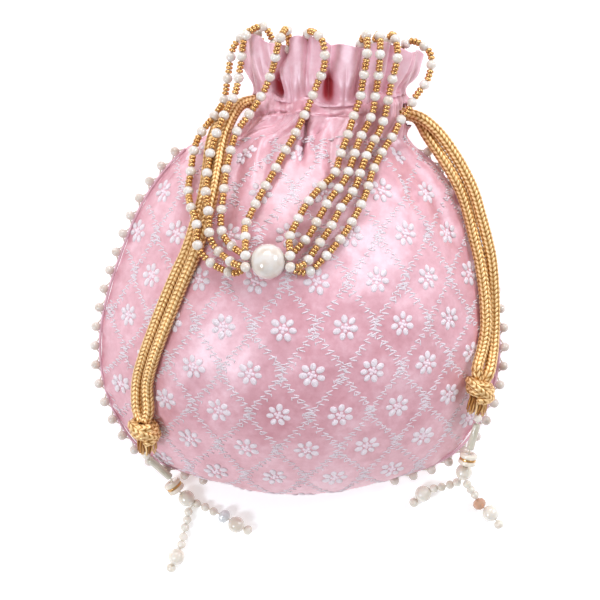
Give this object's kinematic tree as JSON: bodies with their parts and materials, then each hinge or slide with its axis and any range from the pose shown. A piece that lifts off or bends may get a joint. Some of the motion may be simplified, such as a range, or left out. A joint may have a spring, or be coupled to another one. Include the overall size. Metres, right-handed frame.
{
  "type": "drawstring potli bag",
  "caption": "Round drawstring fabric pouch with a gathered frilled neck, pearl edging, braided drawcords with bead tassels and a strung pearl handle, lying on its back.",
  "frame": {"origin": "middle of the bag's outline, on the surface that its back lies on", "axes": "+X to the bag's right side seam as seen from the front, +Y to the mouth, +Z out of the front face"},
  "size_m": [0.184, 0.2423, 0.0874],
  "materials": {
    "embroidered_satin": "satin",
    "plain_satin": "satin",
    "lining_cloth": "matte",
    "gold_braid": "metallic thread",
    "pearl": "pearl coat",
    "cream_bead": "gloss",
    "gold_bead": "polished"
  },
  "bodies": {
    "root": {"front_panel": "embroidered_satin", "back_panel": "embroidered_satin", "frill": "plain_satin", "lining": "lining_cloth", "edge_pearls": "pearl", "left_drawcord": "gold_braid", "right_drawcord": "gold_braid", "left_knot": "gold_braid", "right_knot": "gold_braid", "left_tube_bead": "cream_bead", "right_tube_bead": "cream_bead", "left_discs": "cream_bead", "right_discs": "cream_bead", "left_tassel_pearl": "pearl", "right_tassel_pearl": "pearl", "left_first_string": "cream_bead", "left_second_string": "cream_bead", "right_first_string": "cream_bead", "right_second_string": "cream_bead", "handle_strand_1": "pearl", "handle_strand_2": "pearl", "handle_strand_3": "pearl", "handle_strand_4": "pearl", "centre_pearl": "pearl"}
  },
  "joints": []
}
